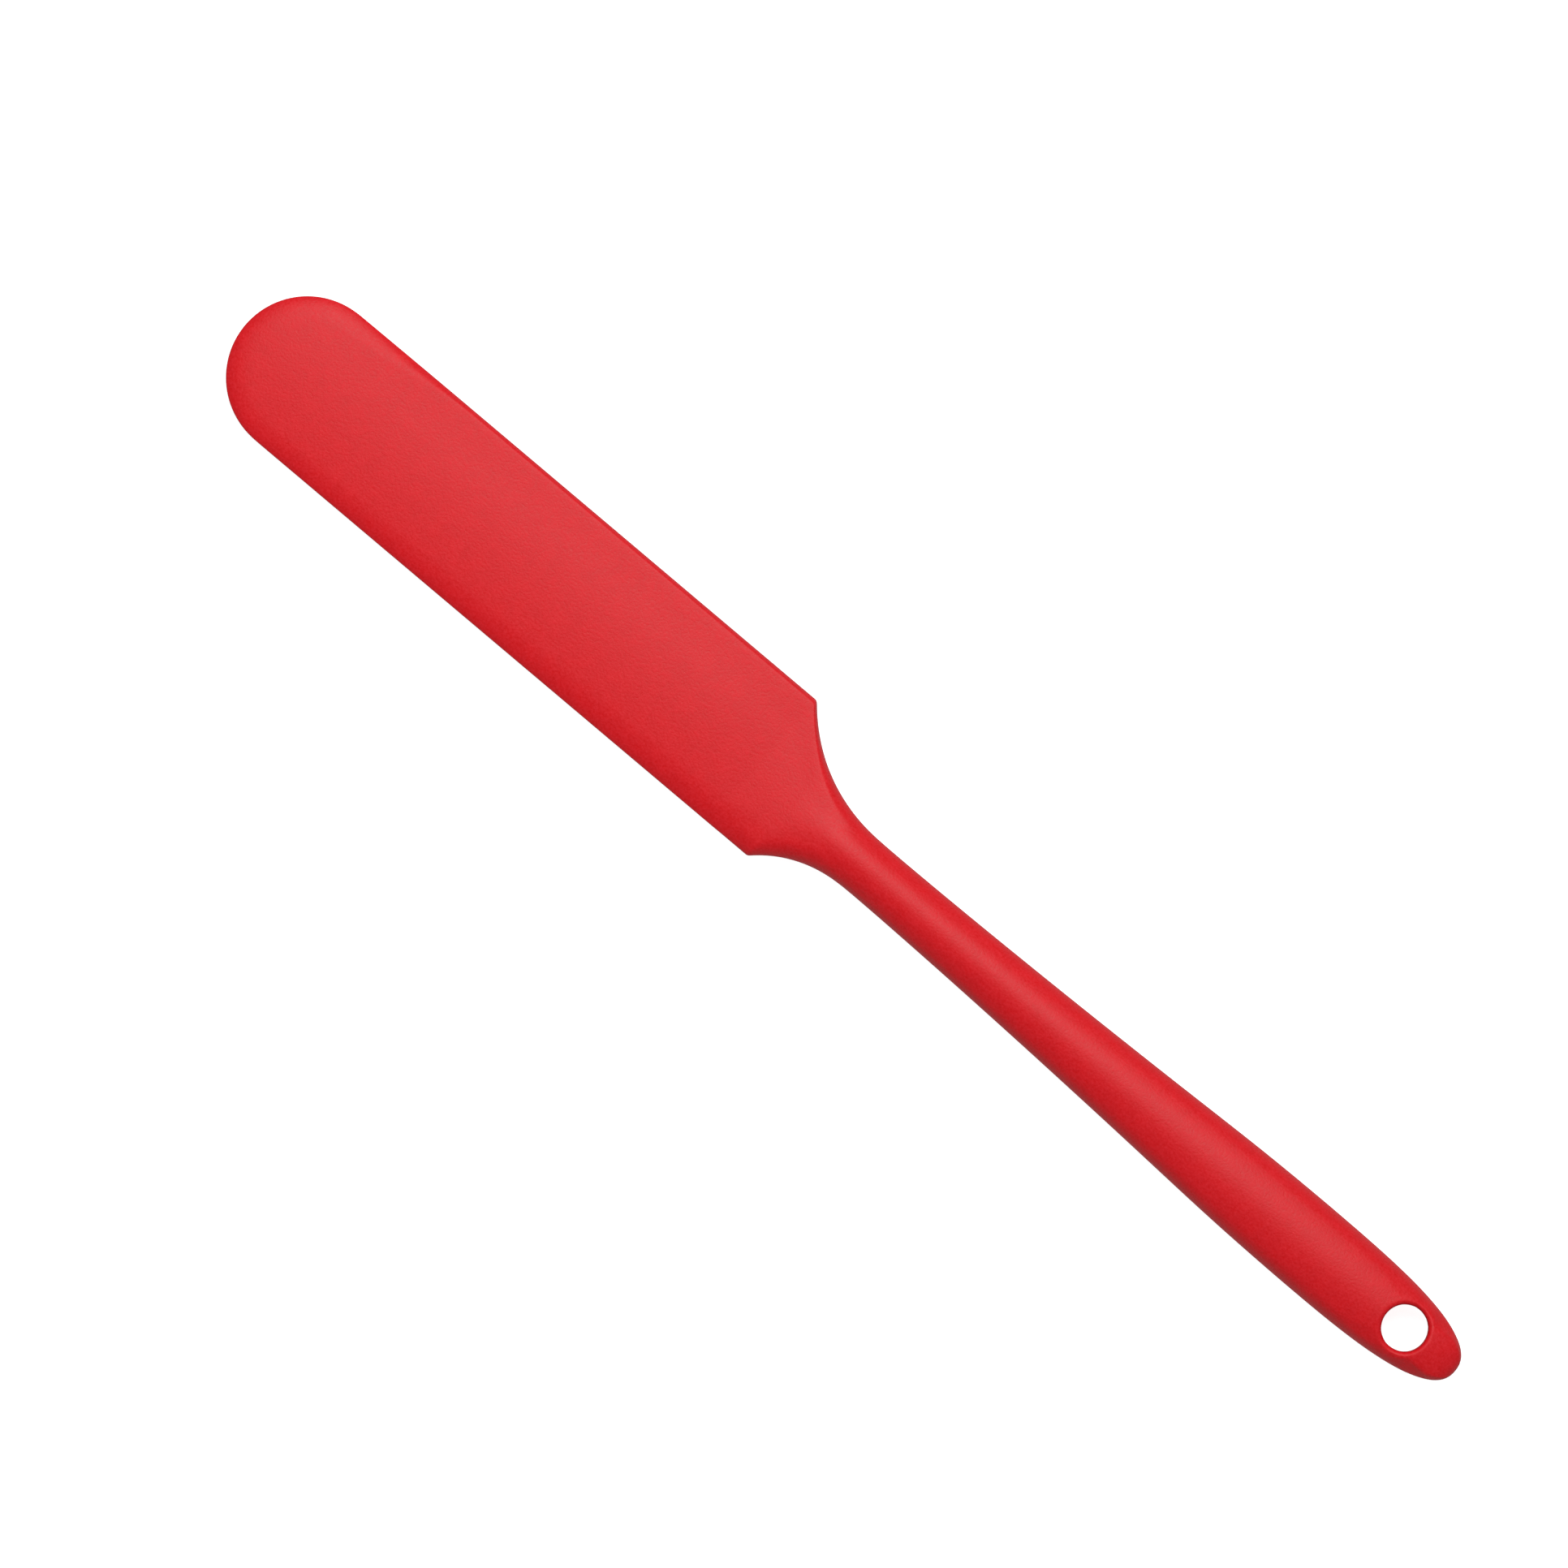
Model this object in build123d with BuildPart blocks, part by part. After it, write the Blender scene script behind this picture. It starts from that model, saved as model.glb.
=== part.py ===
from build123d import *
from math import sqrt
import os

# Narrow silicone jar spatula, moulded in one piece round a stiff insert. Millimetres.
# The tool lies flat with X along its length: blade tip towards -X, grip end towards +X.
# The origin is under the middle of its outline, on the surface that the grip rests on.

# The whole tool
overall_length = 280.0

# Blade: two straight edges, one longer than the other, and a half-round tip
blade_width = 28.8
short_edge_length = 119.0  # from the tip to the shoulder on the +Y edge
shoulder_stagger = 8.2  # how much further the shoulder on the -Y edge stands
root_thickness = 5.0
tip_thickness = 3.4

# Neck: the slender part, set to one side of the blade's centre line
flare_length = 24.4  # from the shoulder on the short edge to the start of the neck
neck_length = 8.0
neck_width = 10.3
neck_thickness = 8.6
neck_offset = 2.45

# Grip: the flat oval that swells towards the hand
grip_width = 15.55
grip_thickness = 10.4
grip_from_end = 36.0  # from the widest place to the end of the tool
end_offset = 3.2
end_along_power = 3.3  # the end's outline is a superellipse with these two powers
end_across_power = 2.5

# Form of a cross section: two wide crown arcs and two rim arcs, tangent to each other.
# Each share is the rim arc's radius as a part of the half thickness.
blade_rim_share = 0.8
neck_rim_share = 0.88
grip_rim_share = 0.75

# Hanging hole
hole_diameter = 8.3
hole_from_end = 11.65
hole_rim_radius = 0.8

# Insert: a nylon bar in the handle and a steel leaf in the blade
skin_wall = 1.8
nylon_wall = 1.0
core_corner_share = 0.76  # of the bar's half thickness
core_setback = 4.5  # silicone between the bar's end and the hanging hole
core_nose_chamfer = 1.2
core_window_width = 3.6
core_window_web_share = 0.38  # of the windows' spacing, left as nylon between two of them
core_window_count = 4
leaf_thickness = 1.0
leaf_margin = 6.0  # silicone beside the leaf at each edge of the blade
leaf_tip_gap = 34.0
leaf_tang_length = 32.0
leaf_hole_diameter = 5.0
leaf_hole_count = 5
tang_hole_diameter = 2.0
tang_hole_count = 2

# Places along the tool
tip_end = -overall_length / 2
grip_end = overall_length / 2
tip_centre = tip_end + blade_width / 2
short_shoulder = tip_end + short_edge_length
long_shoulder = short_shoulder + shoulder_stagger
neck_start = short_shoulder + flare_length
neck_end = neck_start + neck_length
grip_middle = grip_end - grip_from_end
hole_place = grip_end - hole_from_end
mid_height = grip_thickness / 2
blade_edge = blade_width / 2


def ease(share):
    """A smooth step from 0 to 1 that starts and ends level."""
    held = min(max(share, 0), 1)
    return held * held * (3 - 2 * held)


def between(low, high, share):
    """The value that lies at a share of the way from low to high."""
    return low + (high - low) * share


def handle_line(x):
    """The handle's centre line, which drifts a little further to the side towards its end."""
    return -between(neck_offset, end_offset, (x - neck_start) / (grip_end - neck_start))


def flare_rise(x, shoulder, rise):
    """How far an arc that leaves the neck in line has risen at x, if it rises fully at the shoulder."""
    run = neck_start - shoulder
    radius = (run**2 + rise**2) / (2 * rise)
    along = max(neck_start - x, 0)
    return radius - sqrt(radius**2 - along**2)


def end_place(width_share):
    """Where the end's superellipse outline has narrowed to a share of the grip's width."""
    reach_share = (1 - width_share**end_across_power) ** (1 / end_along_power)
    return grip_middle + grip_from_end * reach_share


def end_width_share(x):
    """The share of the grip's width that is left at x in the end's superellipse outline."""
    reach_share = (x - grip_middle) / grip_from_end
    return (1 - reach_share**end_along_power) ** (1 / end_across_power)


def section_plane(x):
    """The plane across the tool at x, at the height of the mould's parting line."""
    return Plane(origin=(x, 0, mid_height), x_dir=(0, 1, 0), z_dir=(1, 0, 0))


def draw_oval(low_edge, high_edge, half_thickness, rim_share):
    """The four tangent arcs of a cross section, drawn in the line that is being built."""
    middle = (low_edge + high_edge) / 2
    half_width = (high_edge - low_edge) / 2
    rim = half_thickness * rim_share
    crown = ((half_width - rim) ** 2 + half_thickness**2 - rim**2) / (2 * (half_thickness - rim))
    # Where crown and rim meet lies on the line through both centres, a crown radius from the first
    stretch = crown / (crown - rim)
    low_joint = middle - (half_width - rim) * stretch
    high_joint = middle + (half_width - rim) * stretch
    joint_height = (crown - half_thickness) * (stretch - 1)
    ThreePointArc((low_joint, joint_height), (middle, half_thickness), (high_joint, joint_height))
    ThreePointArc((high_joint, joint_height), (high_edge, 0), (high_joint, -joint_height))
    ThreePointArc((high_joint, -joint_height), (middle, -half_thickness), (low_joint, -joint_height))
    ThreePointArc((low_joint, -joint_height), (low_edge, 0), (low_joint, joint_height))


def section(x, low_edge, high_edge, half_thickness, rim_share):
    """A whole cross section of the tool at x."""
    with BuildSketch(section_plane(x), mode=Mode.PRIVATE) as outline:
        with BuildLine():
            draw_oval(low_edge, high_edge, half_thickness, rim_share)
        make_face()
    return outline.sketch


def flare_section(x):
    """A section between the shoulders and the neck, where the blade's face rises into the handle."""
    progress = ease((x - short_shoulder) / (neck_start - short_shoulder))
    high_neck = handle_line(neck_start) + neck_width / 2
    low_neck = handle_line(neck_start) - neck_width / 2
    high_edge = high_neck + flare_rise(x, short_shoulder, blade_edge - high_neck)
    low_edge = -blade_edge
    if x > long_shoulder:
        low_edge = low_neck - flare_rise(x, long_shoulder, blade_edge + low_neck)
    half_thickness = between(root_thickness, neck_thickness, progress) / 2
    rim_share = between(blade_rim_share, neck_rim_share, progress)
    return section(x, low_edge, high_edge, half_thickness, rim_share)


def handle_half_sizes(swell_share, size_share=1):
    """Half the handle's width and thickness, swollen from neck to grip and then scaled as a whole."""
    half_width = between(neck_width, grip_width, swell_share) / 2 * size_share
    half_thickness = between(neck_thickness, grip_thickness, swell_share) / 2 * size_share
    return half_width, half_thickness


def handle_section(x, swell_share, size_share=1):
    """A section of the handle at x."""
    half_width, half_thickness = handle_half_sizes(swell_share, size_share)
    middle = handle_line(x)
    rim_share = between(neck_rim_share, grip_rim_share, swell_share)
    return section(x, middle - half_width, middle + half_width, half_thickness, rim_share)


# How far the handle has swollen from neck to grip, at shares of the way to its widest place
place_and_swell_shares = (
    (0, 0),
    (0.09, 0.047),
    (0.17, 0.10),
    (0.28, 0.19),
    (0.40, 0.31),
    (0.51, 0.443),
    (0.62, 0.585),
    (0.72, 0.738),
    (0.82, 0.885),
    (0.91, 0.968),
    (1, 1),
)
swelling_sections = [
    handle_section(between(neck_end, grip_middle, place_share), swell_share)
    for place_share, swell_share in place_and_swell_shares
]

# Steel leaf: a flat blank with a round nose in the blade and a narrow tang in the handle
leaf_start = tip_end + leaf_tip_gap
leaf_edge = blade_edge - leaf_margin
nose_centre = leaf_start + leaf_edge
tang_edge = neck_width / 2 - skin_wall - nylon_wall
tang_end = neck_start + leaf_tang_length
leaf_hole_spacing = (short_shoulder - nose_centre) / (leaf_hole_count - 1)
tang_hole_spacing = leaf_tang_length / (tang_hole_count + 1)

with BuildPart() as steel_leaf:
    with BuildSketch(Plane.XY.offset(mid_height - leaf_thickness / 2)):
        with BuildLine():
            nose = ThreePointArc((nose_centre, leaf_edge), (leaf_start, 0), (nose_centre, -leaf_edge))
            Polyline(
                nose @ 1,
                (short_shoulder, -leaf_edge),
                (neck_start, handle_line(neck_start) - tang_edge),
                (tang_end, handle_line(tang_end) - tang_edge),
                (tang_end, handle_line(tang_end) + tang_edge),
                (neck_start, handle_line(neck_start) + tang_edge),
                (short_shoulder, leaf_edge),
                nose @ 0,
            )
        make_face()
        for index in range(leaf_hole_count):
            with Locations((nose_centre + index * leaf_hole_spacing, 0)):
                Circle(leaf_hole_diameter / 2, mode=Mode.SUBTRACT)
        for index in range(tang_hole_count):
            tang_hole = neck_start + (index + 1) * tang_hole_spacing
            with Locations((tang_hole, handle_line(tang_hole))):
                Circle(tang_hole_diameter / 2, mode=Mode.SUBTRACT)
    extrude(amount=leaf_thickness)
steel_leaf.part.label = "steel_leaf"

# Nylon core: a bar with round corners that swells with the handle in fewer, straight spans, and with
# windows that the silicone fills
core_end = hole_place - hole_diameter / 2 - core_setback
core_window_spacing = (core_end - tang_end) / core_window_count
core_stations = [
    (neck_start, handle_half_sizes(0)),
    *[
        (between(neck_end, grip_middle, place_share), handle_half_sizes(swell_share))
        for place_share, swell_share in place_and_swell_shares[::5]
    ],
    (core_end, handle_half_sizes(1, end_width_share(core_end))),
]

with BuildPart() as nylon_core:
    for station, (half_width, half_thickness) in core_stations:
        bar_half_width = half_width - skin_wall
        bar_half_thickness = half_thickness - skin_wall
        with BuildSketch(section_plane(station)):
            with Locations((handle_line(station), 0)):
                RectangleRounded(
                    2 * bar_half_width, 2 * bar_half_thickness, bar_half_thickness * core_corner_share
                )
    loft(ruled=True)
    chamfer(nylon_core.faces().sort_by(Axis.X)[-1].edges(), core_nose_chamfer)
    with BuildSketch(Plane.XY):
        for index in range(core_window_count):
            window_place = tang_end + (index + 0.5) * core_window_spacing
            with Locations((window_place, handle_line(window_place))):
                SlotOverall(core_window_spacing * (1 - core_window_web_share), core_window_width)
    extrude(amount=grip_thickness, mode=Mode.SUBTRACT)
    add(steel_leaf.part, mode=Mode.SUBTRACT)
nylon_core.part.label = "nylon_core"

# Silicone skin: the whole outside, moulded round both pieces of the insert
between_shoulders_shares = (0, 0.12, 0.5, 0.88, 1)
flare_shares = (0, 0.06, 0.3, 0.55, 0.8, 1)
end_width_shares = (0.985, 0.945, 0.87, 0.76, 0.61)
nose_width_shares = (0.61, 0.53, 0.44, 0.35, 0.25, 0.14)

with BuildPart() as silicone_skin:
    # The blade thins evenly from the shoulder on the short edge to the start of the round tip
    tip_oval = (-blade_edge, blade_edge, tip_thickness / 2, blade_rim_share)
    loft(sections=[section(tip_centre, *tip_oval), flare_section(short_shoulder)], ruled=True)
    # The round tip is one half of that section, turned about the centre of the tip
    with BuildSketch(section_plane(tip_centre)):
        with BuildLine():
            draw_oval(*tip_oval)
        make_face()
        split(bisect_by=Plane.YZ)
    revolve(axis=Axis((tip_centre, 0, 0), (0, 0, 1)), revolution_arc=180)
    # Between the two shoulders only the short edge's side has begun to narrow
    loft(
        sections=[
            flare_section(between(short_shoulder, long_shoulder, share)) for share in between_shoulders_shares
        ]
    )
    # From the long edge's shoulder both sides sweep into the neck
    loft(sections=[flare_section(between(long_shoulder, neck_start, share)) for share in flare_shares])
    # The handle swells in nearly straight spans to the widest place of the grip
    loft(sections=[handle_section(neck_start, 0), *swelling_sections], ruled=True)
    # The end of the grip closes in a smooth curve, then in a small nose
    end_sections = [handle_section(end_place(share), 1, share) for share in end_width_shares]
    nose_sections = [handle_section(end_place(share), 1, share) for share in nose_width_shares]
    loft(sections=[swelling_sections[-1], *end_sections])
    loft(sections=[*nose_sections, Vertex(grip_end, handle_line(grip_end), mid_height)], ruled=True)
    # The hanging hole goes straight through, and its two rims are softened
    with Locations((hole_place, handle_line(hole_place), grip_thickness)):
        Hole(hole_diameter / 2)
    fillet(silicone_skin.edges(Select.LAST).filter_by(Axis.Z, reverse=True), hole_rim_radius)
    add(nylon_core.part, mode=Mode.SUBTRACT)
    add(steel_leaf.part, mode=Mode.SUBTRACT)
silicone_skin.part.label = "silicone_skin"

os.makedirs("parts", exist_ok=True)
for piece in (silicone_skin, nylon_core, steel_leaf):
    export_step(piece.part, f"parts/{piece.part.label}.step")
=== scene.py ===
import math

import bmesh
import bpy
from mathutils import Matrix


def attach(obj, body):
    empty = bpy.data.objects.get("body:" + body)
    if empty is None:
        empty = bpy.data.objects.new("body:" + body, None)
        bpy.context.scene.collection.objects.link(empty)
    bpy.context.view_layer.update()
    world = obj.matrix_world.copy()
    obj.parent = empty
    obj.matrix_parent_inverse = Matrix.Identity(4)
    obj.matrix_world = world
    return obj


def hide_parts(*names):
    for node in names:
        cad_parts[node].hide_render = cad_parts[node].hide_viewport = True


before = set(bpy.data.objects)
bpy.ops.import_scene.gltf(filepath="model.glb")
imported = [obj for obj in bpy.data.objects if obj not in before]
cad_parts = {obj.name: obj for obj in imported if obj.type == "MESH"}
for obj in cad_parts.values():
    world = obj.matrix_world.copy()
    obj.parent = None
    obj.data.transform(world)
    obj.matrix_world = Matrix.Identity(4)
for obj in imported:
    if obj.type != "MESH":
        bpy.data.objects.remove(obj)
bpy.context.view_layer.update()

scene = bpy.context.scene
scene.view_settings.view_transform = "Standard"

# Camera. It looks straight down from far off, so nearly without perspective, and is turned so that the
# tool lies across the picture from the blade at the upper left to the grip at the lower right.
lens = 800
film_width = 36
picture_width = 0.2746
picture_turn = math.radians(40.19)
picture_middle = (-0.0160, -0.0005)
farthest_shown = 20
camera_data = bpy.data.cameras.new("camera")
camera_data.lens = lens
camera_data.sensor_width = film_width
camera_data.clip_end = farthest_shown
camera = bpy.data.objects.new("camera", camera_data)
camera.location = (*picture_middle, picture_width * lens / film_width)
camera.rotation_euler = (0, 0, picture_turn)
scene.collection.objects.link(camera)
scene.camera = camera

# Silicone skin: the whole outside of the tool, one piece of matt red silicone rubber, moulded round the
# insert in a mould of two halves. The halves meet at mid thickness, so the upper half is drawn first,
# in millimetres from the parting plane, as sections across the tool, and is then mirrored.
millimetre = 0.001
mid_height = 5.2
parting_ridge = 0.045
half_length = 140
blade_half_width = 14.4
grip_end = half_length - parting_ridge
blade_edge = blade_half_width - parting_ridge
tip_centre = blade_half_width - half_length
short_shoulder = -21.0
long_shoulder = -12.8
neck_start = 3.4
neck_end = 11.4
grip_middle = 104
end_length = grip_end - grip_middle
neck_offset = 2.45
end_offset = 3.2
tip_half_thickness = 1.7
root_half_thickness = 2.5
neck_half_width = 5.15 - parting_ridge
neck_half_thickness = 4.3
grip_half_width = 7.775 - parting_ridge
grip_half_thickness = 5.185
# Each rim has a width, and the height of its round as a share of the half thickness
blade_rim = (4.1, 0.72)
neck_rim = (4.3, 0.90)
grip_rim = (4.3, 0.86)
# The blade's long edge and tip are thin, while its short edge has a rim of this share of the width, which
# turns nearly upright. The one changes into the other along this length from the tip's centre.
short_rim_share = 0.28
narrowing_length = 22
thin_slope = math.radians(47)
round_slope = math.radians(89)


def ease(share):
    """A smooth step from 0 to 1 that starts and ends level."""
    held = min(max(share, 0), 1)
    return held * held * (3 - 2 * held)


def between(low, high, share):
    """The value that lies at a share of the way from low to high."""
    return low + (high - low) * share


def handle_line(x):
    """The handle's centre line, which drifts a little further to the side towards its end."""
    return -between(neck_offset, end_offset, (x - neck_start) / (grip_end - neck_start))


def flare_rise(x, shoulder, rise):
    """How far an arc that leaves the neck in line has risen at x."""
    run = neck_start - shoulder
    radius = (run**2 + rise**2) / (2 * rise)
    return radius - math.sqrt(radius**2 - max(neck_start - x, 0) ** 2)


def blade_section(x):
    """Edges, half thickness and rim of a section from the tip's centre to the start of the neck."""
    share = (x - short_shoulder) / (neck_start - short_shoulder)
    if x <= short_shoulder:
        thinned = (x - tip_centre) / (short_shoulder - tip_centre)
        half_thickness = between(tip_half_thickness, root_half_thickness, thinned)
        changed = ease((x - tip_centre) / narrowing_length)
        narrowed = between(1, short_rim_share, changed)
        slopes = (thin_slope, between(thin_slope, round_slope, changed))
        return -blade_edge, blade_edge, half_thickness, *blade_rim, narrowed, slopes
    high_neck = handle_line(neck_start) + neck_half_width
    low_neck = handle_line(neck_start) - neck_half_width
    high = high_neck + flare_rise(x, short_shoulder, blade_edge - high_neck)
    low = -blade_edge
    if x > long_shoulder:
        low = low_neck - flare_rise(x, long_shoulder, blade_edge + low_neck)
    half_thickness = between(root_half_thickness, neck_half_thickness, ease(share))
    rim_width = between(blade_rim[0], neck_rim[0], ease(share))
    # The crown keeps its curve where the outline cuts into it, so there it drops less to the rim
    kept_share = ((high - low) / 2 - rim_width) / (blade_edge - blade_rim[0])
    drop = root_half_thickness * (1 - blade_rim[1]) * kept_share**2
    rim_share = min(neck_rim[1], 1 - drop / half_thickness)
    narrowed = between(short_rim_share, 1, ease(share))
    slopes = (between(thin_slope, round_slope, ease(share)), round_slope)
    return low, high, half_thickness, rim_width, rim_share, narrowed, slopes


def handle_section(x, swell, size=1):
    """Edges, half thickness and rim of a section of the handle, swollen from neck to grip.

    Towards the end of the grip the rim narrows faster than the section, so the face stays broad there.
    """
    half_width = between(neck_half_width, grip_half_width, swell) * size
    middle = handle_line(x)
    half_thickness = between(neck_half_thickness, grip_half_thickness, swell) * size
    rim_width = between(neck_rim[0], grip_rim[0], swell) * size**2
    rim_share = between(neck_rim[1], grip_rim[1], swell)
    edges = (middle - half_width, middle + half_width)
    return *edges, half_thickness, rim_width, rim_share, 1, (round_slope, round_slope)


rim_steps = 7
crown_steps = 8
# Places count as the same within the tolerance, and vertices are merged within the merge distance
tolerance = 0.001
merge_distance = 0.002


def spin_arc(x, middle, height, steps, turn):
    """Draws an arc on from the selected vertex, in steps, about a centre in the section at x."""
    bpy.ops.mesh.spin(steps=steps, angle=turn, center=(x, middle, height), axis=(1, 0, 0))


def select_where(test, mode="VERT"):
    """Selects in edit mode the vertices that pass a test, and what lies between them."""
    mesh = bmesh.from_edit_mesh(bpy.context.object.data)
    bpy.ops.mesh.select_mode(type=mode)
    bpy.ops.mesh.select_all(action="DESELECT")
    for vertex in mesh.verts:
        if test(vertex.co):
            vertex.select_set(True)
    if mode != "VERT":
        for edge in mesh.edges:
            edge.select_set(all(test(vertex.co) for vertex in edge.verts))
    mesh.select_flush_mode()
    bmesh.update_edit_mesh(bpy.context.object.data)


def rim_arc(half_width, half_thickness, crown, slope):
    """Centre and turn of the arc that leaves the edge at a slope and runs into the crown's arc.

    The centre is given as its distance from the section's middle and its height.
    """
    depth = crown - half_thickness
    overshoot = (half_width**2 + half_thickness**2) / 2 - half_thickness * crown
    radius = overshoot / (half_width * math.sin(slope) + depth * math.cos(slope) - crown)
    run = half_width - radius * math.sin(slope)
    height = -radius * math.cos(slope)
    return run, height, slope - math.atan2(run, depth + height)


def draw_section(x, low, high, half_thickness, rim_width, rim_share, narrowed, slopes):
    """The upper half of a section: a rim, a wide crown and a rim that may be narrower.

    It is drawn with its width squeezed, so that the rims are arcs of a circle, and is then stretched.
    """
    rim = half_thickness * rim_share
    stretch = rim_width / rim
    middle = (low + high) / 2
    half_width = (high - low) / 2 / stretch
    crown = ((half_width - rim) ** 2 + half_thickness**2 - rim**2) / (2 * (half_thickness - rim))
    low_slope, high_slope = [math.atan(math.tan(slope) * stretch) for slope in slopes]
    low_run, low_height, low_turn = rim_arc(half_width, half_thickness, crown, low_slope)
    high_run, high_height, high_turn = rim_arc(half_width, half_thickness, crown, high_slope)
    crown_turn = low_slope - low_turn + high_slope - high_turn
    start = (x, middle - half_width, 0)
    bpy.ops.mesh.primitive_circle_add(vertices=3, radius=tolerance, location=start)
    bpy.ops.mesh.merge(type="CENTER")
    spin_arc(x, middle - low_run, low_height, rim_steps, low_turn)
    spin_arc(x, middle, half_thickness - crown, crown_steps, crown_turn)
    spin_arc(x, middle + high_run, high_height, rim_steps, high_turn)
    select_where(lambda place: abs(place.x - x) < tolerance)
    bpy.ops.transform.resize(value=(1, stretch, 1), center_override=(x, middle, 0))
    joint = middle + crown * math.sin(high_slope - high_turn) * stretch - tolerance
    select_where(lambda place: abs(place.x - x) < tolerance and place.y > joint)
    bpy.ops.transform.resize(value=(1, narrowed, 1), center_override=(x, high, 0))


# The places along the tool where a section is drawn, closest where the outline turns sharply
blade_places = [tip_centre, -123.5, -118, -106, -94, -82, -70, -58, -46, -35, -27, -23.2, -21.8, -21.2]
flare_places = [
    *(-20.8, -20.3, -19.5, -18.3, -17, -15.7, -14.4, -13.4, -12.8, -12.2, -11.2),
    *(-10, -8.6, -7, -4.8, -2.4, 0.4),
]
# Along the handle: each place, and how far it has swollen from the neck (0) to the grip (1)
handle_swells = [
    *((neck_start, 0), (7.4, 0), (neck_end, 0.005), (19.7, 0.047), (27.2, 0.10), (37.3, 0.19)),
    *((48.4, 0.31), (58.6, 0.443), (68.8, 0.585), (78.1, 0.738), (87.3, 0.885), (95.7, 0.968)),
    (grip_middle, 1),
]
hole_place = 128.35
hole_radius = 4.15
hole_rim = 0.8
collar_radius = 5.45
collar_steps = 8
collar_places = [
    hole_place + collar_radius * (2 * step / collar_steps - 1) for step in range(collar_steps + 1)
]
end_places = [109, 113.5, 117.2, 120.3, *collar_places]
# The outline of the grip's end is a superellipse with these powers of its length and of its width. The nose
# has sections at these shares of the grip's full size.
length_power = 3.3
width_power = 2.5
nose_shares = [0.64, 0.52, 0.40, 0.28, 0.16, 0.07]
sections = [(x, *blade_section(x)) for x in blade_places + flare_places]
sections += [(x, *handle_section(x, swell)) for x, swell in handle_swells]
for x in end_places:
    size = (1 - ((x - grip_middle) / end_length) ** length_power) ** (1 / width_power)
    sections.append((x, *handle_section(x, 1, size)))
for size in nose_shares:
    x = grip_middle + end_length * (1 - size**width_power) ** (1 / length_power)
    sections.append((x, *handle_section(x, 1, size)))

# The sections are drawn side by side in one empty mesh and bridged
bpy.ops.object.select_all(action="DESELECT")
bpy.ops.mesh.primitive_circle_add(vertices=3, radius=1)
skin = bpy.context.object
skin.name = "skin"
bpy.ops.object.mode_set(mode="EDIT")
bpy.ops.mesh.select_all(action="SELECT")
bpy.ops.mesh.delete(type="VERT")
for section in sections:
    draw_section(*section)
bpy.ops.mesh.select_mode(type="EDGE")
bpy.ops.mesh.select_all(action="SELECT")
bpy.ops.mesh.bridge_edge_loops(type="SINGLE")

# The broad face runs on smoothly past both shoulders. Only heights change, away from the rims.
flare_face_start = -28
flare_face_end = -3
long_edge_margin = 3.6
short_edge_margin = 2.4
smoothing_share = 0.5
smoothing_passes = 30


def inside_flare(place):
    """Whether a place is on the broad face about the shoulders, away from the rims."""
    if not flare_face_start < place.x < flare_face_end:
        return False
    low, high = blade_section(place.x)[:2]
    return low + long_edge_margin < place.y < high - short_edge_margin


select_where(inside_flare)
bpy.ops.mesh.vertices_smooth(
    factor=smoothing_share, repeat=smoothing_passes, xaxis=False, yaxis=False, zaxis=True
)

# The nose closes to a point on the handle's line
nose_start = sections[-1][0]
select_where(lambda place: abs(place.x - nose_start) < tolerance, "EDGE")
bpy.ops.mesh.extrude_edges_move()
bpy.ops.transform.resize(value=(0, 0, 0), center_override=(grip_end, handle_line(grip_end), 0))

# The round tip is half of the blade's first section, spun half a turn about the tip's centre
tip_steps = 26
select_where(lambda place: abs(place.x - tip_centre) < tolerance and place.y > -tolerance, "EDGE")
bpy.ops.mesh.spin(steps=tip_steps, angle=math.pi, center=(tip_centre, 0, 0), axis=(0, 0, -1))
bpy.ops.mesh.select_all(action="SELECT")
bpy.ops.mesh.remove_doubles(threshold=merge_distance)
bpy.ops.object.mode_set(mode="OBJECT")

# The hanging hole: a round collar in the grip's face, then a soft rim, then a straight wall
hole_line = handle_line(hole_place)
collar_inside = collar_radius - 0.1
# The rim turns down in steps of these degrees, and the wall goes on to these shares of its height
rim_turns = (20, 45, 70, 90)
wall_shares = (0.5, 0)


def from_hole(place):
    """How far a place lies from the axis of the hanging hole."""
    return math.hypot(place.x - hole_place, place.y - hole_line)


whole_form = skin.copy()
whole_form.data = skin.data.copy()
scene.collection.objects.link(whole_form)
skin.vertex_groups.new(name="collar")
bpy.ops.object.mode_set(mode="EDIT")
bpy.ops.mesh.select_mode(type="FACE")
bpy.ops.mesh.select_all(action="DESELECT")
mesh = bmesh.from_edit_mesh(skin.data)
for face in mesh.faces:
    middle = face.calc_center_median()
    across = abs(middle.y - hole_line)
    face.select_set(abs(middle.x - hole_place) < collar_radius and across < collar_inside)
bmesh.update_edit_mesh(skin.data)
bpy.ops.mesh.region_to_loop()
bpy.ops.object.vertex_group_assign()
bpy.ops.mesh.loop_to_region()
bpy.ops.mesh.select_mode(type="FACE")
bpy.ops.mesh.delete(type="FACE")
bpy.ops.mesh.select_mode(type="EDGE")
bpy.ops.mesh.select_all(action="DESELECT")
bpy.ops.object.vertex_group_select()
mesh = bmesh.from_edit_mesh(skin.data)
chosen = [vertex for vertex in mesh.verts if vertex.select]
height = max(vertex.co.z for vertex in chosen)
hole_centre = (hole_place, hole_line, height)
bpy.ops.transform.resize(value=(1, 1, 0), center_override=hole_centre)
bpy.ops.transform.tosphere(value=1, center_override=hole_centre)
reach = [from_hole(vertex.co) for vertex in chosen]
spread = collar_radius / (sum(reach) / len(reach))
bpy.ops.transform.resize(value=(spread, spread, 1), center_override=hole_centre)
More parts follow.
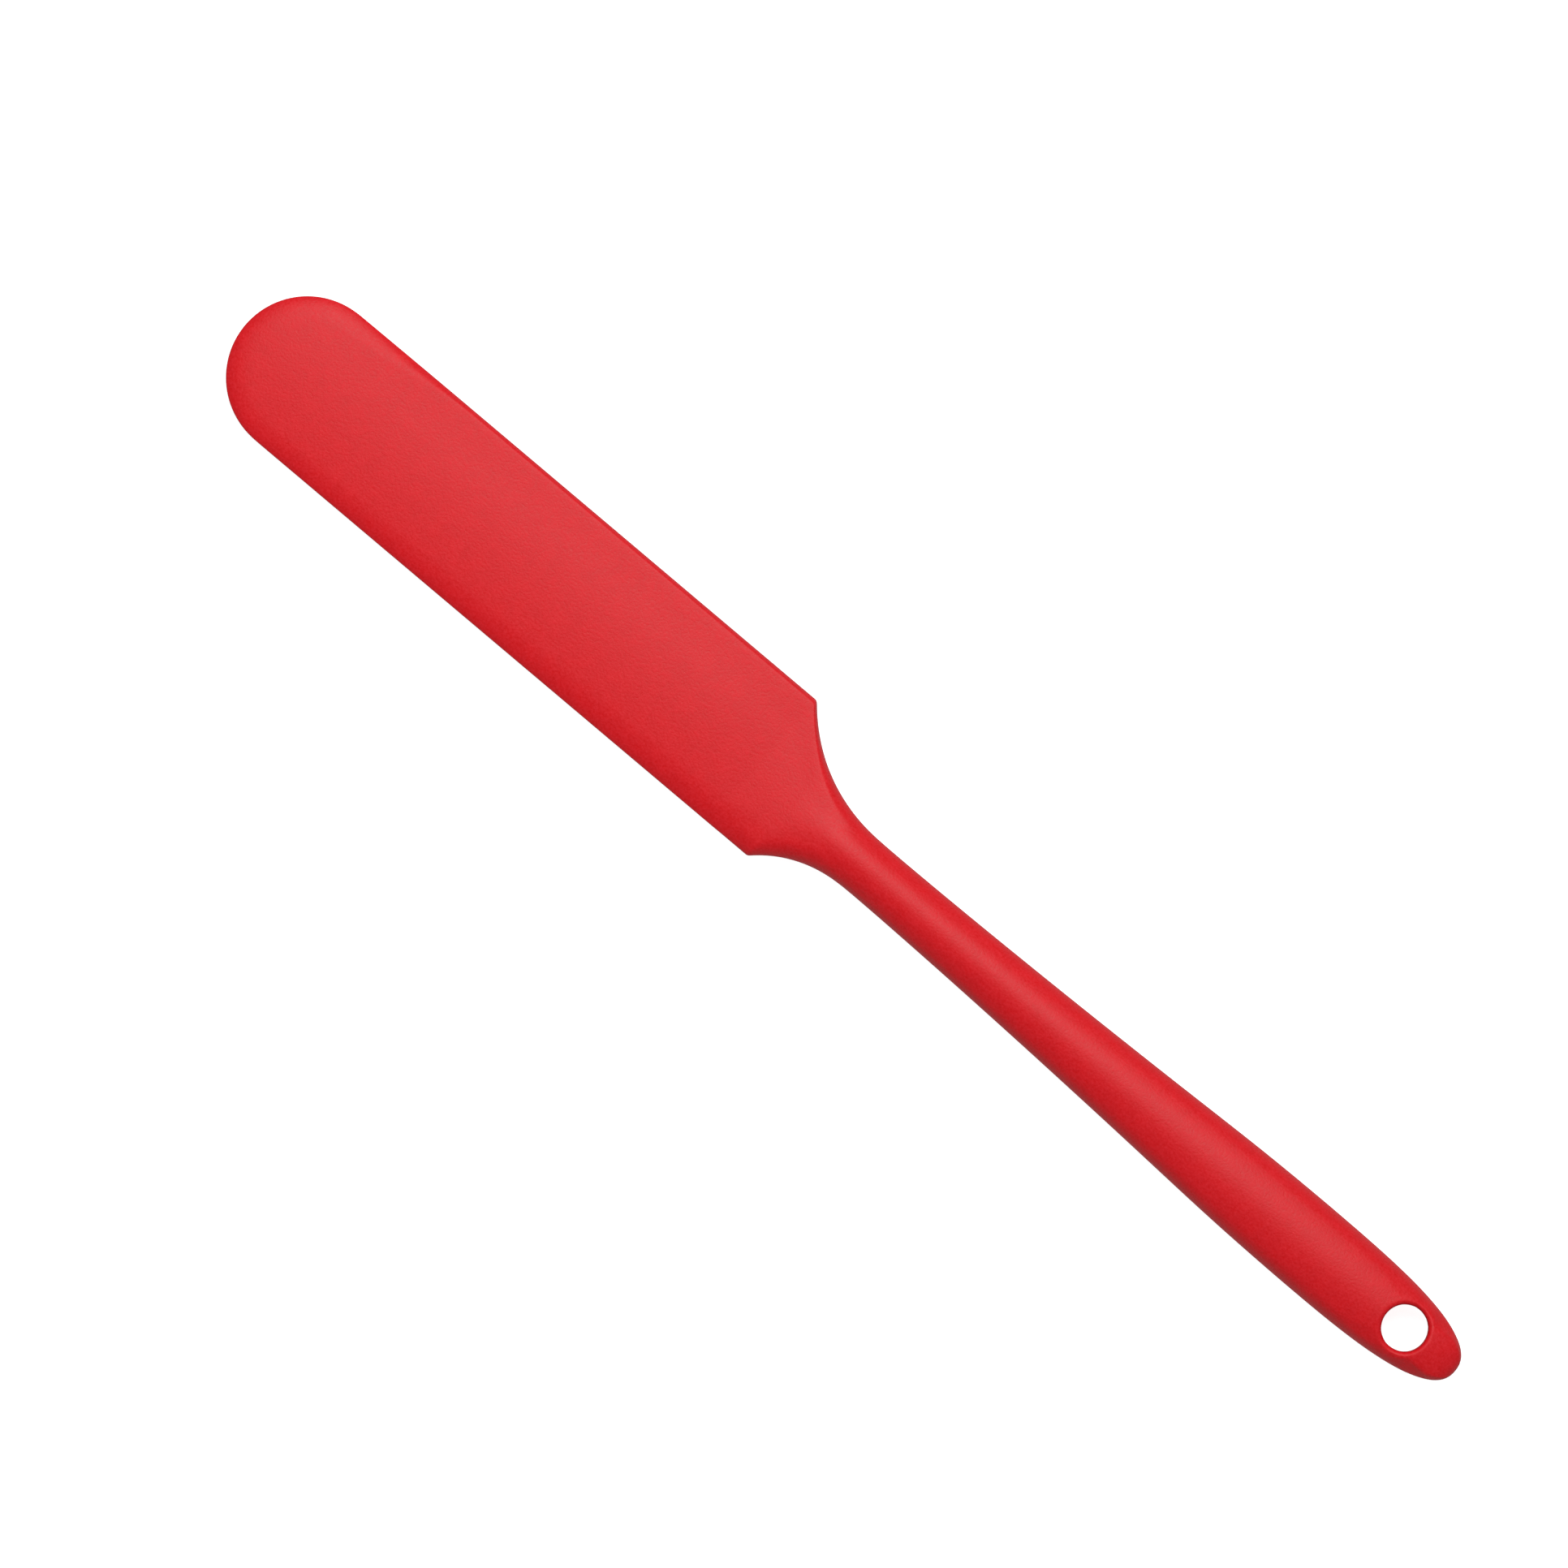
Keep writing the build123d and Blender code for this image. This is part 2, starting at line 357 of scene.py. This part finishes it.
# The collar's second ring is where the rim starts. Both rings are laid on the grip's face.
rim_start = (hole_radius + hole_rim) / collar_radius
bpy.ops.mesh.extrude_edges_move()
bpy.ops.transform.resize(value=(rim_start, rim_start, 1), center_override=hole_centre)
bpy.ops.object.vertex_group_assign()
bpy.ops.object.mode_set(mode="OBJECT")
laid = skin.modifiers.new("laid", "SHRINKWRAP")
laid.target = whole_form
laid.vertex_group = "collar"
laid.wrap_method = "PROJECT"
laid.use_project_z = True
laid.use_negative_direction = True
laid.use_positive_direction = True
bpy.ops.object.modifier_apply(modifier="laid")
bpy.ops.object.mode_set(mode="EDIT")
ring = hole_radius + hole_rim
ring_tolerance = 0.02
select_where(lambda place: abs(from_hole(place) - ring) < ring_tolerance, "EDGE")
drop = 0
for turn in rim_turns:
    smaller = hole_radius + hole_rim * (1 - math.sin(math.radians(turn)))
    lower = hole_rim * (1 - math.cos(math.radians(turn)))
    bpy.ops.mesh.extrude_edges_move()
    bpy.ops.transform.resize(value=(smaller / ring, smaller / ring, 1), center_override=hole_centre)
    bpy.ops.transform.translate(value=(0, 0, drop - lower))
    ring = smaller
    drop = lower
bpy.ops.mesh.extrude_edges_move()
bpy.ops.transform.translate(value=(0, 0, -hole_rim / 2))
for share in wall_shares:
    bpy.ops.mesh.extrude_edges_move()
    bpy.ops.transform.resize(value=(1, 1, share), center_override=(hole_place, hole_line, 0))

# The other half of the mould gives the other half of the skin, and the two are one piece
bpy.ops.mesh.select_all(action="SELECT")
bpy.ops.mesh.normals_make_consistent(inside=False)
bpy.ops.object.mode_set(mode="OBJECT")
bpy.data.objects.remove(whole_form)
halves = skin.modifiers.new("halves", "MIRROR")
halves.use_axis = (False, False, True)
halves.use_mirror_merge = True
halves.merge_threshold = merge_distance
bpy.ops.object.modifier_apply(modifier="halves")
fineness = 2
rounded = skin.modifiers.new("rounded", "SUBSURF")
rounded.levels = fineness
rounded.render_levels = fineness
bpy.ops.object.modifier_apply(modifier="rounded")

# The parting line left by the mould is a low ridge along the middle of the whole edge
bpy.ops.object.mode_set(mode="EDIT")
bpy.ops.mesh.select_all(action="SELECT")
bpy.ops.mesh.normals_make_consistent(inside=False)
select_where(lambda place: abs(place.z) < merge_distance and from_hole(place) > collar_radius)
bpy.ops.transform.shrink_fatten(value=parting_ridge)
bpy.ops.mesh.select_all(action="SELECT")
bpy.ops.transform.translate(value=(0, 0, mid_height))
bpy.ops.transform.resize(value=(millimetre,) * 3, center_override=(0, 0, 0))
bpy.ops.object.mode_set(mode="OBJECT")
bpy.ops.object.shade_smooth()
skin.vertex_groups.clear()
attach(skin, "root")
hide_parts("silicone_skin")


def srgb(code):
    """A colour written as hex digits, as the linear numbers that a shader takes."""
    shares = [int(code[place : place + 2], 16) / 255 for place in (0, 2, 4)]
    linear = [share / 12.92 if share <= 0.04045 else ((share + 0.055) / 1.055) ** 2.4 for share in shares]
    return (*linear, 1)


def blank_material(name):
    """A new material that has no nodes yet."""
    material = bpy.data.materials.new(name)
    material.use_nodes = True
    material.node_tree.nodes.clear()
    return material


def add_node(material, kind, settings=None, links=None):
    """Adds a node to a material, with its settings and with what its inputs are linked to."""
    node = material.node_tree.nodes.new(kind)
    for name, value in (settings or {}).items():
        if name in node.inputs:
            node.inputs[name].default_value = value
        else:
            setattr(node, name, value)
    for name, source in (links or {}).items():
        material.node_tree.links.new(source, node.inputs[name])
    return node


# Silicone rubber, pressed in a steel mould with a fine blasted face: an even red with a soft, matt sheen
# and a fine grain that catches the light as small specks. The grain is drawn about 0.45 mm wide.
grain_width = 0.45 * millimetre
mottle_width = 2.2 * millimetre
silicone = blank_material("matt red silicone rubber")
place = add_node(silicone, "ShaderNodeTexCoord")
grain = add_node(
    silicone,
    "ShaderNodeTexNoise",
    {"Scale": 1 / grain_width, "Detail": 3, "Roughness": 0.6},
    {"Vector": place.outputs["Object"]},
)
mottle = add_node(
    silicone,
    "ShaderNodeTexNoise",
    {"Scale": 1 / mottle_width, "Detail": 2},
    {"Vector": place.outputs["Object"]},
)
colour = add_node(silicone, "ShaderNodeValToRGB", {}, {"Fac": grain.outputs["Fac"]})
colour.color_ramp.elements[0].position = 0.25
colour.color_ramp.elements[0].color = srgb("ce0008")
colour.color_ramp.elements[1].position = 0.75
colour.color_ramp.elements[1].color = srgb("dc1c27")
cloud = add_node(
    silicone,
    "ShaderNodeMapRange",
    {"From Min": 0.3, "From Max": 0.7, "To Min": 0.97, "To Max": 1.03},
    {"Value": mottle.outputs["Fac"]},
)
tinted = add_node(
    silicone,
    "ShaderNodeVectorMath",
    {"operation": "SCALE"},
    {"Vector": colour.outputs["Color"], "Scale": cloud.outputs["Result"]},
)
sheen = add_node(
    silicone,
    "ShaderNodeMapRange",
    {"From Min": 0.3, "From Max": 0.7, "To Min": 0.42, "To Max": 0.56},
    {"Value": grain.outputs["Fac"]},
)
relief = add_node(
    silicone,
    "ShaderNodeBump",
    {"Strength": 1, "Distance": 0.06 * millimetre},
    {"Height": grain.outputs["Fac"]},
)
rubber = add_node(
    silicone,
    "ShaderNodeBsdfPrincipled",
    {"IOR": 1.41, "Specular IOR Level": 0.38},
    {
        "Base Color": tinted.outputs["Vector"],
        "Roughness": sheen.outputs["Result"],
        "Normal": relief.outputs["Normal"],
    },
)
add_node(silicone, "ShaderNodeOutputMaterial", {}, {"Surface": rubber.outputs["BSDF"]})
skin.data.materials.clear()
skin.data.materials.append(silicone)

# Nylon core: the stiff bar in the handle, injection moulded in nylon filled with glass fibre, left in
# its natural colour. The fibres give its face a faint streaked grain along the bar.
fibre_width = 0.4 * millimetre
nylon = blank_material("natural glass-filled nylon")
place = add_node(nylon, "ShaderNodeTexCoord")
drawn_out = add_node(
    nylon, "ShaderNodeMapping", {"Scale": (0.12, 1, 1)}, {"Vector": place.outputs["Object"]}
)
fibres = add_node(
    nylon,
    "ShaderNodeTexNoise",
    {"Scale": 1 / fibre_width, "Detail": 4},
    {"Vector": drawn_out.outputs["Vector"]},
)
colour = add_node(nylon, "ShaderNodeValToRGB", {}, {"Fac": fibres.outputs["Fac"]})
colour.color_ramp.elements[0].color = srgb("c3bda9")
colour.color_ramp.elements[1].color = srgb("d9d4c3")
relief = add_node(
    nylon,
    "ShaderNodeBump",
    {"Strength": 0.3, "Distance": 0.05 * millimetre},
    {"Height": fibres.outputs["Fac"]},
)
bar = add_node(
    nylon,
    "ShaderNodeBsdfPrincipled",
    {"IOR": 1.53, "Roughness": 0.55},
    {"Base Color": colour.outputs["Color"], "Normal": relief.outputs["Normal"]},
)
add_node(nylon, "ShaderNodeOutputMaterial", {}, {"Surface": bar.outputs["BSDF"]})

# Steel leaf: the springy strip in the blade, stamped from cold rolled stainless steel. Rolling leaves
# fine lines along the strip, so its gloss is streaked lengthwise.
rolling_width = 0.15 * millimetre
steel = blank_material("cold rolled stainless steel")
place = add_node(steel, "ShaderNodeTexCoord")
drawn_out = add_node(
    steel, "ShaderNodeMapping", {"Scale": (0.02, 1, 1)}, {"Vector": place.outputs["Object"]}
)
lines = add_node(
    steel,
    "ShaderNodeTexNoise",
    {"Scale": 1 / rolling_width, "Detail": 3},
    {"Vector": drawn_out.outputs["Vector"]},
)
gloss = add_node(
    steel,
    "ShaderNodeMapRange",
    {"From Min": 0.3, "From Max": 0.7, "To Min": 0.24, "To Max": 0.38},
    {"Value": lines.outputs["Fac"]},
)
relief = add_node(
    steel,
    "ShaderNodeBump",
    {"Strength": 0.15, "Distance": 0.01 * millimetre},
    {"Height": lines.outputs["Fac"]},
)
leaf = add_node(
    steel,
    "ShaderNodeBsdfPrincipled",
    {"Base Color": srgb("c4c3c0"), "Metallic": 1},
    {"Roughness": gloss.outputs["Result"], "Normal": relief.outputs["Normal"]},
)
add_node(steel, "ShaderNodeOutputMaterial", {}, {"Surface": leaf.outputs["BSDF"]})
for node_name, material in (("nylon_core", nylon), ("steel_leaf", steel)):
    for material_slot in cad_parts[node_name].material_slots:
        material_slot.material = material

# Floor: a white sheet just under the tool. It glows to the camera alone, so that it shows plain white, and
# keeps a soft shadow.
floor_width = 3
floor_height = -0.0002
floor_glow = 0.9
bpy.ops.object.select_all(action="DESELECT")
bpy.ops.mesh.primitive_plane_add(size=floor_width, location=(0, 0, floor_height))
floor = bpy.context.object
floor.name = "floor"
paper = blank_material("white paper sheet")
matt = add_node(paper, "ShaderNodeBsdfDiffuse", {"Color": srgb("c8c8c8")})
ray = add_node(paper, "ShaderNodeLightPath")
shown = add_node(
    paper, "ShaderNodeMapRange", {"To Max": floor_glow}, {"Value": ray.outputs["Is Camera Ray"]}
)
glow = add_node(paper, "ShaderNodeEmission", {"Color": (1, 1, 1, 1)}, {"Strength": shown.outputs["Result"]})
sheet = add_node(paper, "ShaderNodeAddShader")
paper.node_tree.links.new(matt.outputs["BSDF"], sheet.inputs[0])
paper.node_tree.links.new(glow.outputs["Emission"], sheet.inputs[1])
add_node(paper, "ShaderNodeOutputMaterial", {}, {"Surface": sheet.outputs["Shader"]})
floor.data.materials.append(paper)

# Light: one soft lamp beyond the blade, which leans to the side of the short edge, and a dim room
lamp_along = -0.22
lamp_lean = math.radians(22)
lamp_distance = 1.15
lamp_width = 0.75
lamp_watts = 11.4
room_strength = 0.31
lamp_data = bpy.data.lights.new("soft lamp", "AREA")
lamp_data.shape = "DISK"
lamp_data.size = lamp_width
lamp_data.energy = lamp_watts
lamp = bpy.data.objects.new("soft lamp", lamp_data)
lamp.location = (lamp_along, lamp_distance * math.sin(lamp_lean), lamp_distance * math.cos(lamp_lean))
lamp.rotation_euler = (-lamp_lean, 0, 0)
scene.collection.objects.link(lamp)
room = bpy.data.worlds.new("room")
room.use_nodes = True
scene.world = room
room.node_tree.nodes.clear()
air = add_node(room, "ShaderNodeBackground", {"Color": (1, 1, 1, 1), "Strength": room_strength})
white = add_node(room, "ShaderNodeBackground", {"Color": (1, 1, 1, 1), "Strength": 1})
ray = add_node(room, "ShaderNodeLightPath")
seen = add_node(room, "ShaderNodeMixShader", {}, {"Fac": ray.outputs["Is Camera Ray"]})
room.node_tree.links.new(air.outputs["Background"], seen.inputs[1])
room.node_tree.links.new(white.outputs["Background"], seen.inputs[2])
add_node(room, "ShaderNodeOutputWorld", {}, {"Surface": seen.outputs["Shader"]})
